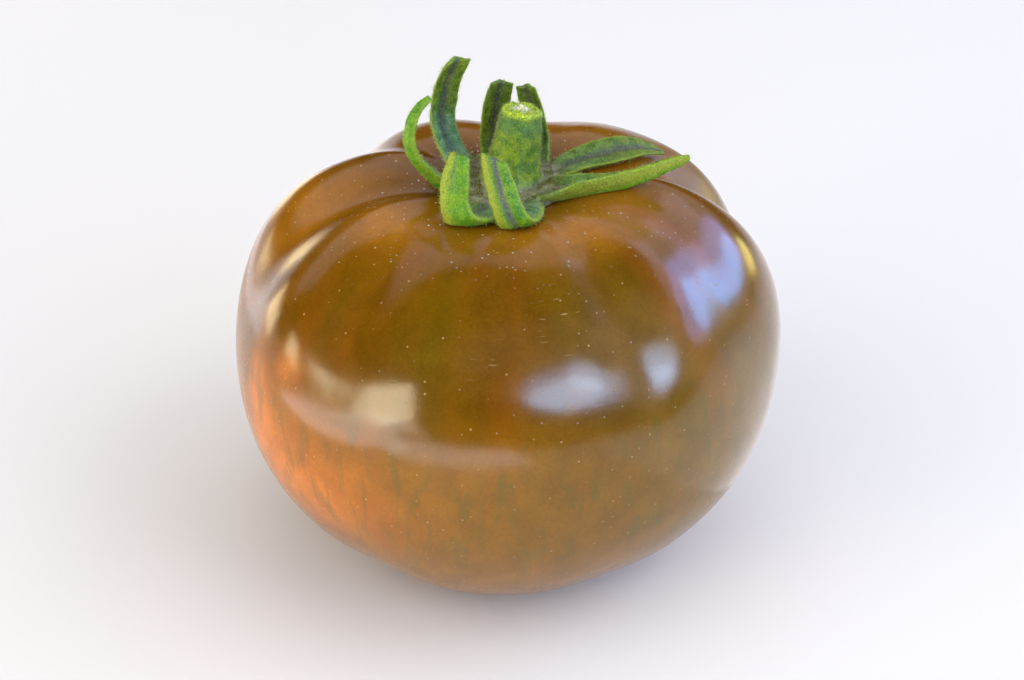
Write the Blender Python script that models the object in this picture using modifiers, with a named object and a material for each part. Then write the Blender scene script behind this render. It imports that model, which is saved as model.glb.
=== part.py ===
"""A black krim tomato as picked: one ribbed fruit, and the green calyx with its stub of stem.

Everything is in metres with +Z up. The fruit stands on z = 0, its stem end is up, and the
origin is under the middle of the whole object. Azimuths are in degrees, anticlockwise from +X.
"""

import math
from typing import NamedTuple

import bmesh
import bpy
from mathutils import Matrix, Vector

MM = 0.001

# The fruit's driving sizes
FRUIT_RADIUS = 42.8 * MM  # middle half-width, before the lobes
FRUIT_HALF_HEIGHT = 34.7 * MM
SHOULDER_BIAS = 0.10  # share by which the stem half is wider than the blossom half
ROUNDNESS_ACROSS = 0.84  # 1 is a sphere's profile, and less is a squarer one
ROUNDNESS_UP = 0.90
STEM_AXIS = Vector((-0.2 * MM, 0.4 * MM, 0.0))  # the stem stands a little off the middle

# The hollow that the calyx sits in, wider towards -Y, and the dimple at the blossom end
CAVITY_DEPTH = 6.0 * MM
CAVITY_WIDTH_BACK = 12.0 * MM
CAVITY_WIDTH_FRONT = 19.0 * MM
DIMPLE_DEPTH = 2.6 * MM
DIMPLE_WIDTH = 8.0 * MM
REST_CUT = 1.5 * MM  # how much the fruit's own weight flattens it where it rests

# The polar angles, from the stem, where a rib's groove is deepest, and how far it spreads
SHOULDER_AT, SHOULDER_SPREAD = math.radians(46), math.radians(31)
BLOSSOM_AT, BLOSSOM_SPREAD = math.radians(140), math.radians(24)
POLE_FADE = math.radians(13)  # grooves fade out this near the stem and the blossom scar

FRUIT_SEGMENTS = 84
FRUIT_RINGS = 42


class Groove(NamedTuple):
    """A groove between two lobes: its depths are shares of the fruit's radius."""

    azimuth: float
    shoulder_depth: float
    blossom_depth: float
    spread: float  # degrees


GROOVES = (
    Groove(16, 0.100, 0.020, 10),
    Groove(88, 0.090, 0.022, 26),
    Groove(141, 0.085, 0.020, 14),
    Groove(188, 0.082, 0.022, 17),
    Groove(232, 0.045, 0.028, 12),
    Groove(301, 0.045, 0.018, 14),
    Groove(333, 0.045, 0.006, 14),
)

# The calyx's sizes. Heights are above the seat, the lowest point of the stem cavity.
SEAT_HEIGHT = FRUIT_HALF_HEIGHT - REST_CUT + FRUIT_HALF_HEIGHT - CAVITY_DEPTH
CALYX_AXIS = STEM_AXIS + Vector((0.3 * MM, 0.0, SEAT_HEIGHT))
CALYX_CLEARANCE = 0.35 * MM
COLLAR_SIDES = 40
COLLAR_PROFILE = (  # (height above the skin under it, radius), from the middle of its top
    (2.1 * MM, 0.0),
    (2.0 * MM, 4.5 * MM),
    (1.6 * MM, 7.2 * MM),
    (1.1 * MM, 8.4 * MM),
    (0.3 * MM, 8.8 * MM),
    (-1.5 * MM, 8.0 * MM),
    (-1.5 * MM, 0.0),
)
HALVINGS = 24  # enough to find a height on the skin to far under a micrometre
STEM_SIDES = 24
STEM_LEAN = (math.radians(-6), math.radians(9))  # about X, then about Y
CUT_HOLLOW = 0.5 * MM  # the pith dries back below the rind of the cut
STEM_PROFILE = (  # (height, radius) from the pith down into the collar
    (13.9 * MM - CUT_HOLLOW, 0.0),
    (13.9 * MM, 2.5 * MM),
    (13.5 * MM, 3.05 * MM),
    (10.0 * MM, 3.4 * MM),
    (6.4 * MM, 3.7 * MM),
    (3.6 * MM, 4.3 * MM),
    (1.8 * MM, 5.2 * MM),
    (0.5 * MM, 5.4 * MM),
    (0.5 * MM, 0.0),
)

SEPAL_SECTIONS = 17
SEPAL_SIDES = 10
TURN_FROM, TURN_TO = 0.15, 0.65  # the shares of its length over which a sepal turns
THINNING = 0.45  # how much thinner a sepal is at its tip than at its root
FATTEST = 0.8  # a sepal is never thicker than this share of its width
CUP_CURVE = 1.5  # how the rise to a cupped blade's edges grows from its middle
CUP_FULL_AT = 1 / 3  # the share of its length by which a sepal is fully cupped
SLANT_FROM = 2 / 3  # the share of its length from which the torn tip slants


class Sepal(NamedTuple):
    """One sepal in mm and degrees."""

    name: str
    thickness: float  # at the root
    cup: float  # how far the edges stand above the middle, as a share of the half-width
    turn: float  # how far the blade is turned about its line
    slant: float  # how obliquely the tip is torn off, as a slope
    stations: tuple  # its middle line, as (reach, azimuth, height, width) from root to tip


SEPALS = (
    Sepal("left", 1.9, 0.35, 0, 0.0, (
        (3.5, 192, 1.4, 5.5), (7, 194, 1.8, 5.0), (9.7, 196, 2.5, 4.4), (12.3, 198, 5.2, 3.8),
        (14.7, 198, 8.4, 3.2), (15.6, 198, 11.3, 2.8), (15.2, 198, 14.3, 2.2),
        (14.1, 198, 16.5, 1.6), (12.2, 198, 18.0, 1.0))),
    Sepal("back_left", 1.6, 0.40, -40, 0.5, (
        (3.5, 148, 1.4, 6.0), (7.2, 149, 2.2, 5.4), (9.8, 150, 3.8, 5.0), (11.3, 151, 6.6, 4.7),
        (12.0, 151, 10.3, 4.6), (11.5, 151, 13.1, 4.4), (10.9, 151, 16.0, 4.2),
        (10.0, 151, 18.3, 4.0), (8.8, 151, 20.5, 3.8))),
    Sepal("back", 1.5, 0.30, 0, 0.0, (
        (3.5, 103, 1.4, 6.5), (6.5, 103, 2.2, 5.6), (8.6, 105, 4.4, 5.0), (9.0, 104, 7.5, 4.8),
        (8.7, 102, 11.6, 4.4), (7.6, 98, 15.2, 3.8))),
    Sepal("back_right", 1.5, 0.30, 0, 0.0, (
        (3.5, 54, 1.4, 6.0), (7.2, 56, 2.2, 5.2), (9.1, 59, 4.5, 4.6), (9.2, 61, 7.0, 4.4),
        (8.7, 64, 11.0, 4.0), (7.6, 68, 14.7, 3.4))),
    Sepal("right", 1.5, 0.35, 30, 0.0, (
        (3.5, 22, 1.2, 6.0), (7.0, 22, 1.8, 5.4), (9.8, 23, 2.3, 5.2), (12.7, 24, 2.7, 5.2),
        (15.8, 24, 3.0, 5.2), (19.0, 25, 3.0, 4.8), (21.7, 25, 2.8, 3.8), (24.2, 25, 2.1, 2.4),
        (26.6, 25, 1.1, 1.0))),
    Sepal("front_right", 2.3, 1.0, -25, 0.0, (
        (3.5, -36, 1.2, 8.5), (7.0, -29, 1.3, 7.3), (9.9, -22, 1.6, 5.6), (12.8, -17, 2.2, 4.5),
        (15.8, -13, 2.9, 3.7), (19.0, -10, 3.9, 3.0), (22.0, -8, 5.0, 2.5), (25.0, -6, 6.2, 2.0),
        (27.6, -5, 7.3, 0.9))),
    Sepal("front", 1.9, -0.15, 30, 0.7, (
        (3.5, -70, 1.4, 7.0), (7.5, -75, 1.7, 7.0), (11.6, -80, 2.1, 6.4), (14.6, -85, 2.8, 5.4),
        (14.7, -90, 5.2, 4.8), (13.4, -95, 8.8, 4.6), (12.5, -99, 12.2, 3.8))),
    Sepal("front_left", 1.9, -0.15, 40, 0.0, (
        (3.5, -104, 1.4, 8.0), (8.0, -108, 1.7, 8.0), (12.2, -112, 2.1, 7.6), (15.2, -116, 2.8, 6.0),
        (15.5, -120, 5.2, 4.9), (14.8, -121, 8.6, 4.7), (13.5, -121, 12.4, 3.2))),
)

FRUIT_COLOUR = (0.180, 0.085, 0.012, 1.0)
CALYX_COLOUR = (0.110, 0.230, 0.015, 1.0)


def clear_scene():
    """Remove what Blender starts with."""
    for obj in list(bpy.data.objects):
        bpy.data.objects.remove(obj, do_unlink=True)


def new_collection(name):
    """A collection linked to the scene."""
    collection = bpy.data.collections.new(name)
    bpy.context.scene.collection.children.link(collection)
    return collection


def principled(name, colour, roughness):
    """A plain material in the part's colour."""
    material = bpy.data.materials.new(name)
    material.use_nodes = True
    shader = material.node_tree.nodes["Principled BSDF"]
    shader.inputs["Base Color"].default_value = colour
    shader.inputs["Roughness"].default_value = roughness
    shader.inputs["Metallic"].default_value = 0.0
    material.diffuse_color = colour
    return material


def object_from(mesh, name, collection):
    """A new object that holds this mesh."""
    obj = bpy.data.objects.new(name, mesh)
    collection.objects.link(obj)
    return obj


def bell(distance, spread):
    """1 at no distance, falling off smoothly."""
    return math.exp(-((distance / spread) ** 2))


def signed_power(value, exponent):
    """value to a power, with its sign kept."""
    return math.copysign(abs(value) ** exponent, value)


def turn_between(angle, other):
    """The shortest turn from other to angle."""
    return (angle - other + math.pi) % (2 * math.pi) - math.pi


def groove_depth(azimuth, polar):
    """How far the grooves press in here, as a share of the distance from the fruit's middle."""
    at_shoulder = bell(polar - SHOULDER_AT, SHOULDER_SPREAD) * (1 - bell(polar, POLE_FADE))
    at_blossom = bell(polar - BLOSSOM_AT, BLOSSOM_SPREAD) * (1 - bell(math.pi - polar, POLE_FADE))
    depth = 0.0
    for groove in GROOVES:
        across = bell(turn_between(azimuth, math.radians(groove.azimuth)), math.radians(groove.spread))
        depth += across * (groove.shoulder_depth * at_shoulder + groove.blossom_depth * at_blossom)
    return depth


def fruit_point(azimuth, polar):
    """The fruit's surface by azimuth and by polar angle from the stem."""
    up = math.cos(polar)
    ring = FRUIT_RADIUS * math.sin(polar) ** ROUNDNESS_ACROSS * (1 + SHOULDER_BIAS * up)
    level = FRUIT_HALF_HEIGHT * signed_power(up, ROUNDNESS_UP)
    if up > 0:
        toward_front = 0.5 - 0.5 * math.sin(azimuth)
        cavity_width = CAVITY_WIDTH_BACK + (CAVITY_WIDTH_FRONT - CAVITY_WIDTH_BACK) * toward_front
        level -= CAVITY_DEPTH * bell(ring, cavity_width)
    else:
        level += DIMPLE_DEPTH * bell(ring, DIMPLE_WIDTH)
    keep = 1 - groove_depth(azimuth, polar)
    height = max(level * keep + FRUIT_HALF_HEIGHT - REST_CUT, 0.0)
    return STEM_AXIS + Vector((ring * keep * math.cos(azimuth), ring * keep * math.sin(azimuth), height))


def shape_fruit(mesh, outset=0.0):
    """Move a unit ball's points onto the fruit, and out by outset along its normals."""
    for vertex in mesh.vertices:
        x, y, z = vertex.co
        azimuth = math.atan2(y, x)
        polar = math.acos(max(-1.0, min(1.0, z)))
        vertex.co = fruit_point(azimuth, polar)
    mesh.update()
    if outset:
        normals = [vertex.normal.copy() for vertex in mesh.vertices]
        for vertex, normal in zip(mesh.vertices, normals):
            vertex.co += normal * outset


def build_fruit(name, collection, outset=0.0):
    """The ribbed fruit: a ball moved onto its surface."""
    bm = bmesh.new()
    bmesh.ops.create_uvsphere(bm, u_segments=FRUIT_SEGMENTS, v_segments=FRUIT_RINGS, radius=1.0)
    mesh = bpy.data.meshes.new(name)
    bm.to_mesh(mesh)
    bm.free()
    shape_fruit(mesh, outset)
    mesh.shade_smooth()
    return object_from(mesh, name, collection)


def turned(name, profile, sides, collection):
    """A solid turned about Z from (height, radius) points that run from the top down."""
    bm = bmesh.new()
    points = [bm.verts.new((radius, 0.0, height)) for height, radius in profile]
    for upper, lower in zip(points, points[1:]):
        bm.edges.new((upper, lower))
    mesh = bpy.data.meshes.new(name)
    bm.to_mesh(mesh)
    bm.free()
    obj = object_from(mesh, name, collection)
    screw = obj.modifiers.new("Turn", "SCREW")
    screw.axis = "Z"
    screw.steps = sides
    screw.render_steps = sides
    screw.use_merge_vertices = True
    screw.merge_threshold = 0.01 * MM
    return obj


def applied(obj):
    """The object with its modifiers made into its mesh, placed where it stood."""
    graph = bpy.context.evaluated_depsgraph_get()
    mesh = bpy.data.meshes.new_from_object(obj.evaluated_get(graph))
    mesh.transform(obj.matrix_world)
    obj.modifiers.clear()
    obj.data = mesh
    obj.matrix_world = Matrix.Identity(4)
    return obj


def skin_height(reach, azimuth):
    """The fruit's skin above the seat, near the stem, found by halving the polar angle's range."""
    low, high = 0.0, SHOULDER_AT + POLE_FADE
    for _ in range(HALVINGS):
        polar = 0.5 * (low + high)
        point = fruit_point(azimuth, polar) - STEM_AXIS
        if math.hypot(point.x, point.y) < reach:
            low = polar
        else:
            high = polar
    return point.z - SEAT_HEIGHT


def build_collar(collection):
    """The receptacle: the low disc that joins the sepals' roots and lies along the skin."""
    collar = turned("calyx", COLLAR_PROFILE, COLLAR_SIDES, collection)
    bpy.context.view_layer.update()
    applied(collar)
    for vertex in collar.data.vertices:
        x, y, z = vertex.co
        vertex.co.z = z + skin_height(math.hypot(x, y), math.atan2(y, x))
    collar.data.transform(Matrix.Translation(CALYX_AXIS))
    return collar


def build_stem(collection):
    """The stub of stem, cut off above the collar."""
    stem = turned("stem", STEM_PROFILE, STEM_SIDES, collection)
    stem.location = CALYX_AXIS
    stem.rotation_euler = (STEM_LEAN[0], STEM_LEAN[1], 0)
    bpy.context.view_layer.update()
    return applied(stem)


def along(points, share):
    """A point on the smooth line through these points, at 0 to 1 of the way."""
    spans = len(points) - 1
    span = min(int(share * spans), spans - 1)
    t = share * spans - span
    before = points[span - 1] if span > 0 else 2 * points[0] - points[1]
    start, end = points[span], points[span + 1]
    after = points[span + 2] if span + 2 <= spans else 2 * points[-1] - points[-2]
    return 0.5 * (
        2 * start
        + (end - before) * t
        + (2 * before - 5 * start + 4 * end - after) * t ** 2
        + (3 * start - before - 3 * end + after) * t ** 3
    )


def sepal_line(sepal):
    """The points that a sepal's middle line goes through."""
    points = []
    for reach, azimuth, height, _ in sepal.stations:
        turn = math.radians(azimuth)
        points.append(CALYX_AXIS + MM * Vector((reach * math.cos(turn), reach * math.sin(turn), height)))
    return points


def sepal_rings(sepal, sections, sides):
    """The blade's outline at each section. Its upper face looks up at the root, and from there
    on it is carried along the line without twisting, apart from the sepal's own turn."""
    line = sepal_line(sepal)
    widths = [MM * station[3] for station in sepal.stations]
    step = 0.01
    carried = Vector((0, 0, 1))
    rings = []
    for section in range(sections):
        share = section / (sections - 1)
        centre = along(line, share)
        tangent = (along(line, min(1, share + step)) - along(line, max(0, share - step))).normalized()
        carried = (carried - carried.dot(tangent) * tangent).normalized()
        turn = math.radians(sepal.turn) * max(0, min(1, (share - TURN_FROM) / (TURN_TO - TURN_FROM)))
        upper = Matrix.Rotation(turn, 3, tangent) @ carried
        side = tangent.cross(upper)
        half_width = 0.5 * along(widths, share)
        root_half = 0.5 * MM * sepal.thickness
        half_thickness = min(root_half * (1 - THINNING * share), FATTEST * half_width)
        cup = sepal.cup * half_width * min(1, share / CUP_FULL_AT)
        slant = sepal.slant * half_width * max(0, share - SLANT_FROM) / (1 - SLANT_FROM)
        ring = []
        for corner in range(sides):
            angle = 2 * math.pi * corner / sides
            across = math.cos(angle)
            up = half_thickness * math.sin(angle) + cup * abs(across) ** CUP_CURVE
            ring.append(centre + side * half_width * across + upper * up + tangent * slant * across)
        rings.append(ring)
    return rings


def build_sepal(sepal, collection):
    """One fleshy blade: like sections set along a line that curls, so it is skinned by hand."""
    bm = bmesh.new()
    outlines = sepal_rings(sepal, SEPAL_SECTIONS, SEPAL_SIDES)
    rings = [[bm.verts.new(point) for point in outline] for outline in outlines]
    for ring, following in zip(rings, rings[1:]):
        for corner in range(SEPAL_SIDES):
            beside = (corner + 1) % SEPAL_SIDES
            bm.faces.new((ring[corner], ring[beside], following[beside], following[corner]))
    bm.faces.new(rings[0][::-1])
    bm.faces.new(rings[-1])
    bmesh.ops.recalc_face_normals(bm, faces=bm.faces)
    mesh = bpy.data.meshes.new("sepal_" + sepal.name)
    bm.to_mesh(mesh)
    bm.free()
    return object_from(mesh, "sepal_" + sepal.name, collection)


def drop_crumbs(mesh):
    """Remove the flat pairs of faces that joining can leave back to back on the same corners."""
    bm = bmesh.new()
    bm.from_mesh(mesh)
    bmesh.ops.triangulate(bm, faces=bm.faces)
    on_corners = {}
    for face in bm.faces:
        on_corners.setdefault(frozenset(face.verts), []).append(face)
    crumbs = [face for faces in on_corners.values() if len(faces) > 1 for face in faces]
    bmesh.ops.delete(bm, geom=crumbs, context="FACES")
    bm.to_mesh(mesh)
    bm.free()


def build_calyx(collection, helpers):
    """Collar, stem and sepals joined, and hollowed underneath to sit on the fruit."""
    calyx = build_collar(collection)
    build_stem(helpers)
    for sepal in SEPALS:
        build_sepal(sepal, helpers)
    union = calyx.modifiers.new("Join", "BOOLEAN")
    union.operation = "UNION"
    union.operand_type = "COLLECTION"
    union.collection = helpers
    union.solver = "MANIFOLD"
    bpy.context.view_layer.update()
    applied(calyx)
    for helper in list(helpers.objects):
        bpy.data.objects.remove(helper, do_unlink=True)
    seat = build_fruit("seat_cutter", helpers, CALYX_CLEARANCE)
    cut = calyx.modifiers.new("Seat", "BOOLEAN")
    cut.operation = "DIFFERENCE"
    cut.object = seat
    cut.solver = "MANIFOLD"
    bpy.context.view_layer.update()
    applied(calyx)
    bpy.data.objects.remove(seat, do_unlink=True)
    drop_crumbs(calyx.data)
    return calyx


def main():
    clear_scene()
    tomato = new_collection("black_krim_tomato")
    helpers = new_collection("cutters")
    fruit = build_fruit("fruit", tomato)
    fruit.data.materials.append(principled("tomato_skin", FRUIT_COLOUR, 0.22))
    calyx = build_calyx(tomato, helpers)
    calyx.data.materials.clear()
    calyx.data.materials.append(principled("green_calyx", CALYX_COLOUR, 0.6))
    calyx.data.shade_smooth()
    calyx.data.set_sharp_from_angle(angle=math.radians(50))


main()
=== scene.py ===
# %% [markdown]
# # A black krim tomato
#
# A black krim is a beefsteak tomato: a wide, ribbed fruit whose stem half stays olive-brown while the
# blossom half ripens to orange. On top sits its calyx, the green star of sepals round a stub of stem.
# A solid model already gives both pieces at their real size. This lesson rebuilds each of them with a
# fine surface on the same measures, gives each a finish made only of nodes, and lights the whole for a
# picture. Everything is in metres, with +Z up and the fruit standing on z = 0.

# %% Load the solid model
import math

import bmesh
import bpy
import numpy as np
from mathutils import Matrix, Quaternion, Vector, kdtree, noise


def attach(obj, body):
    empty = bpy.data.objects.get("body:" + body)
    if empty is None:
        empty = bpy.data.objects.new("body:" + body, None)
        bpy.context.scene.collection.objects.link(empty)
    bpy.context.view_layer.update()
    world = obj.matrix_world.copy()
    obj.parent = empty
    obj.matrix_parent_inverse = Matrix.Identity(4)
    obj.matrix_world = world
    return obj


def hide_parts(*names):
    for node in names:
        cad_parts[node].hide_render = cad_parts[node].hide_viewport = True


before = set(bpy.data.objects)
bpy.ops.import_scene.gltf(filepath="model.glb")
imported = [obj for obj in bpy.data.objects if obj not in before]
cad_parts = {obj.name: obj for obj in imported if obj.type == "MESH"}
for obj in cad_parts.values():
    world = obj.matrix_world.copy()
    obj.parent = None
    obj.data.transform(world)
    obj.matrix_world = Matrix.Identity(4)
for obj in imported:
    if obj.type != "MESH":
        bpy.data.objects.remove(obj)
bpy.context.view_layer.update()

MM = 0.001
SEED = 7

# %% [markdown]
# ## The camera
#
# The picture was taken from above the front at about 31 degrees, from less than half a metre away and with
# a long lens. A camera can be aimed with a Track To constraint, or by writing its rotation. Its place is
# worked out here from the point that it looks at, so that one angle and one distance say it all. A lens
# shift of about one hundredth moves the fruit a little down and to the left, as it is framed in the picture.

# %% Place the camera
AIM = Vector((-0.2 * MM, 0.4 * MM, 33.2 * MM))
CAMERA_ELEVATION = math.radians(31)
CAMERA_DISTANCE = 450 * MM
LENS, SENSOR = 100.0, 36.0
LENS_SHIFT = (0.0059, 0.0130)

camera = bpy.data.objects.new("camera", bpy.data.cameras.new("camera"))
bpy.context.scene.collection.objects.link(camera)
backwards = Vector((0, -math.cos(CAMERA_ELEVATION), math.sin(CAMERA_ELEVATION)))
camera.location = AIM + CAMERA_DISTANCE * backwards
camera.rotation_euler = (math.pi / 2 - CAMERA_ELEVATION, 0, 0)
camera.data.lens = LENS
camera.data.sensor_width = SENSOR
camera.data.shift_x, camera.data.shift_y = LENS_SHIFT
camera.data.clip_start, camera.data.clip_end = 0.01, 20
bpy.context.scene.camera = camera
print("the camera stands", [round(v / MM) for v in camera.location], "mm from the origin")

# %% [markdown]
# ## The shape of the fruit
#
# A tomato is a bag of flesh pulled in by ribs. Its outline could be sculpted, or modelled as a cage with
# Subdivision Surface, but a formula keeps it on the solid's measures: a rounded profile, a hollow for the
# calyx, a dimple at the blossom end, and one groove after another that presses in between two lobes.
# NumPy works on all the points at once, so each line below says one thing about the whole surface.

# %% The fruit's measures
FRUIT_RADIUS = 42.8 * MM
FRUIT_HALF_HEIGHT = 34.7 * MM
SHOULDER_BIAS = 0.10
ROUNDNESS_ACROSS, ROUNDNESS_UP = 0.84, 0.90
STEM_AXIS = Vector((-0.2 * MM, 0.4 * MM, 0.0))
CAVITY_DEPTH = 6.0 * MM
CAVITY_WIDTH_BACK, CAVITY_WIDTH_FRONT = 12.0 * MM, 19.0 * MM
DIMPLE_DEPTH, DIMPLE_WIDTH = 2.6 * MM, 8.0 * MM
REST_CUT = 1.5 * MM
REST_ROUNDING = 0.4 * MM
SHOULDER_AT, SHOULDER_SPREAD = math.radians(46), math.radians(31)
BLOSSOM_AT, BLOSSOM_SPREAD = math.radians(140), math.radians(24)
POLE_FADE = math.radians(13)
# Each groove: azimuth, depth at the shoulder, depth at the blossom end, and spread, in degrees and shares.
GROOVES = (
    (16, 0.100, 0.020, 10),
    (88, 0.090, 0.022, 26),
    (141, 0.085, 0.020, 14),
    (188, 0.082, 0.022, 17),
    (232, 0.045, 0.028, 12),
    (301, 0.045, 0.018, 14),
    (333, 0.045, 0.006, 14),
)


def bell(distance, spread):
    """1 at no distance, falling off smoothly."""
    return np.exp(-((distance / spread) ** 2))


def turn_between(angle, other):
    """The shortest turn from other to angle."""
    return (angle - other + np.pi) % (2 * np.pi) - np.pi


def groove_depth(azimuth, polar):
    """How far the grooves press in, as a share of the distance from the fruit's middle."""
    at_shoulder = bell(polar - SHOULDER_AT, SHOULDER_SPREAD) * (1 - bell(polar, POLE_FADE))
    at_blossom = bell(polar - BLOSSOM_AT, BLOSSOM_SPREAD) * (1 - bell(np.pi - polar, POLE_FADE))
    depth = np.zeros_like(polar)
    for groove_azimuth, shoulder_depth, blossom_depth, spread in GROOVES:
        across = bell(turn_between(azimuth, math.radians(groove_azimuth)), math.radians(spread))
        depth += across * (shoulder_depth * at_shoulder + blossom_depth * at_blossom)
    return depth


def fruit_points(azimuth, polar):
    """Points on the skin by azimuth and by polar angle from the stem."""
    up = np.cos(polar)
    ring = FRUIT_RADIUS * np.sin(polar) ** ROUNDNESS_ACROSS * (1 + SHOULDER_BIAS * up)
    level = FRUIT_HALF_HEIGHT * np.sign(up) * np.abs(up) ** ROUNDNESS_UP
    toward_front = 0.5 - 0.5 * np.sin(azimuth)
    cavity_width = CAVITY_WIDTH_BACK + (CAVITY_WIDTH_FRONT - CAVITY_WIDTH_BACK) * toward_front
    cavity = -CAVITY_DEPTH * bell(ring, cavity_width)
    dimple = DIMPLE_DEPTH * bell(ring, DIMPLE_WIDTH)
    keep = 1 - groove_depth(azimuth, polar)
    height = (level + np.where(up > 0, cavity, dimple)) * keep + FRUIT_HALF_HEIGHT - REST_CUT
    height = 0.5 * (height + np.sqrt(height ** 2 + REST_ROUNDING ** 2))
    across = ring * keep
    return np.stack([
        STEM_AXIS.x + across * np.cos(azimuth),
        STEM_AXIS.y + across * np.sin(azimuth),
        height,
    ], axis=-1)


print("the fruit is", round(2 * FRUIT_RADIUS / MM, 1), "mm across before its", len(GROOVES), "grooves")

# %% [markdown]
# ## The fine surface of the fruit
#
# The ball starts as a UV sphere, and each of its points moves to the skin at the same azimuth and polar
# angle. Four small things are then added along the normals, because gloss shows them at once: slow lumps
# that make a highlight waver, the short pleats that run out from under the calyx, a crease down the front
# right lobe that parts the brightest highlight in two, and the corky scar that the flower left underneath.
# All stay under a third of a millimetre, so the size doesn't change.

# %% Build the fruit
AROUND, DOWN = 440, 210
LUMP_SIZE, LUMP_HEIGHT = 14 * MM, 0.12 * MM
RIPPLE_SIZE, RIPPLE_HEIGHT = 3.5 * MM, 0.020 * MM
PLEATS, PLEAT_REACH, PLEAT_SPREAD, PLEAT_HEIGHT = 14, 19 * MM, 6.5 * MM, 0.13 * MM
# Two slow waves round the fruit make the pleats' spacing uneven.
PLEAT_DRIFT = ((1.5, 2, 0.7), (0.8, 5, 0.0))
SCAR_RADIUS, SCAR_HEIGHT, CORK_GRAIN = 2.4 * MM, 0.25 * MM, 0.8 * MM
LUMPS_FULL_AT = 3 * MM
CREASE_DEPTH = 0.25 * MM
CREASE_AT, CREASE_SPREAD = (math.radians(-57.5), math.radians(65)), (math.radians(4.5), math.radians(10))


def noise_at(points, size, offset=0.0):
    """Smooth noise of about -1 to 1 at each point, with features of this size."""
    return np.array([noise.noise(Vector(point) / size + Vector((offset, 0, 0))) for point in points])


def read_points(mesh, kind="co"):
    """A mesh's vertex places, or its normals, as an array."""
    values = np.empty(len(mesh.vertices) * 3, np.float32)
    if kind == "co":
        mesh.vertices.foreach_get("co", values)
    else:
        mesh.vertex_normals.foreach_get("vector", values)
    return values.reshape(-1, 3).astype(float)


def write_points(mesh, points):
    """Put the vertices at these points."""
    mesh.vertices.foreach_set("co", points.astype(np.float32).ravel())
    mesh.update()


def paint(mesh, name, values):
    """Keep a value, or a vector, for each vertex under a name that nodes can read."""
    is_vector = values.ndim == 2
    layer = mesh.attributes.new(name, "FLOAT_VECTOR" if is_vector else "FLOAT", "POINT")
    layer.data.foreach_set("vector" if is_vector else "value", values.astype(np.float32).ravel())


def count_triangles(mesh):
    """How many triangles the mesh has."""
    mesh.calc_loop_triangles()
    return len(mesh.loop_triangles)


ball = bmesh.new()
bmesh.ops.create_uvsphere(ball, u_segments=AROUND, v_segments=DOWN, radius=1.0)
fruit_mesh = bpy.data.meshes.new("fruit_skin")
ball.to_mesh(fruit_mesh)
ball.free()
unit = read_points(fruit_mesh)
azimuth = np.arctan2(unit[:, 1], unit[:, 0])
polar = np.arccos(np.clip(unit[:, 2], -1, 1))
skin = fruit_points(azimuth, polar)
write_points(fruit_mesh, skin)
normals = read_points(fruit_mesh, "normal")

reach = np.hypot(skin[:, 0] - STEM_AXIS.x, skin[:, 1] - STEM_AXIS.y)
is_upper = polar < np.pi / 2
off_the_floor = np.clip(skin[:, 2] / LUMPS_FULL_AT, 0, 1)
lumps = LUMP_HEIGHT * noise_at(skin, LUMP_SIZE) + RIPPLE_HEIGHT * noise_at(skin, RIPPLE_SIZE, 5.0)
pleat_turn = PLEATS * azimuth
for drift, waves, start in PLEAT_DRIFT:
    pleat_turn = pleat_turn + drift * np.sin(waves * azimuth + start)
pleats = PLEAT_HEIGHT * np.cos(pleat_turn) * bell(reach - PLEAT_REACH, PLEAT_SPREAD) * is_upper
scar = bell(reach, SCAR_RADIUS) * ~is_upper
corky = SCAR_HEIGHT * scar * (1 + noise_at(skin, CORK_GRAIN))
crease = CREASE_DEPTH * bell(turn_between(azimuth, CREASE_AT[0]), CREASE_SPREAD[0])
crease = crease * bell(polar - CREASE_AT[1], CREASE_SPREAD[1])
relief = lumps * off_the_floor + pleats - crease - 0.5 * corky
write_points(fruit_mesh, skin + normals * relief[:, None])
fruit_mesh.shade_smooth()
fruit = bpy.data.objects.new("fruit_skin", fruit_mesh)
bpy.context.scene.collection.objects.link(fruit)
print("fruit:", count_triangles(fruit_mesh), "triangles")

# %% [markdown]
# ## Where the fruit has ripened
#
# The colour of a tomato follows its form: the shoulders keep their green longest, the side that had the
# sun has coloured most, and the change runs down each lobe. Such broad zones could be painted by hand as
# a vertex colour. They are written as soft patches by azimuth and polar angle instead, one value a vertex,
# and the nodes below lay finer patterns over them.

# %% Map the zones
# Each zone: soft patches of strength, azimuth and its spread, polar angle and its spread, in degrees.
# In the bloom the wax is dull, so that the highlight over it has no edge.
ZONES = {
    "gold_by_calyx": ((1.0, -60, 42, 20, 9), (1.1, -145, 20, 24, 9), (0.7, 60, 60, 22, 9),
                      (0.9, 85, 60, 42, 20), (0.8, 178, 24, 43, 16)),
    "green_shoulder": ((1.0, -108, 8, 50, 22), (0.8, -74, 7, 42, 20), (0.5, -135, 6, 40, 14),
                       (0.7, -57, 9, 42, 14), (0.7, 40, 14, 48, 24), (0.7, 120, 16, 48, 24)),
    "sunny_flush": ((1.0, -141, 24, 97, 14), (0.9, -151, 5, 82, 11), (0.6, -141, 4, 70, 5),
                    (0.5, 165, 25, 85, 20)),
    "shaded_side": ((1.0, -38, 34, 82, 30), (0.6, 30, 40, 85, 40)),
    "scratched": ((1.0, -74, 7, 45, 7), (0.35, -94, 5, 55, 5)),
    "bloom": ((1.0, 24, 13, 40, 14),),
}
# Where the ripe half begins and is full, where streaks begin, are full, thin out and end, and where dust
# is full and ends, all as polar angles in degrees.
RIPE = (68, 88)
STREAKED = (66, 80, 100, 122)
DUSTY = (17, 46)
RIB_WANDER, WANDER_SIZE = 7, 0.22
ROUND_SCALE = 32 * MM
STREAK_STRETCH, SCRATCH_STRETCH = 0.22, 0.20


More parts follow.
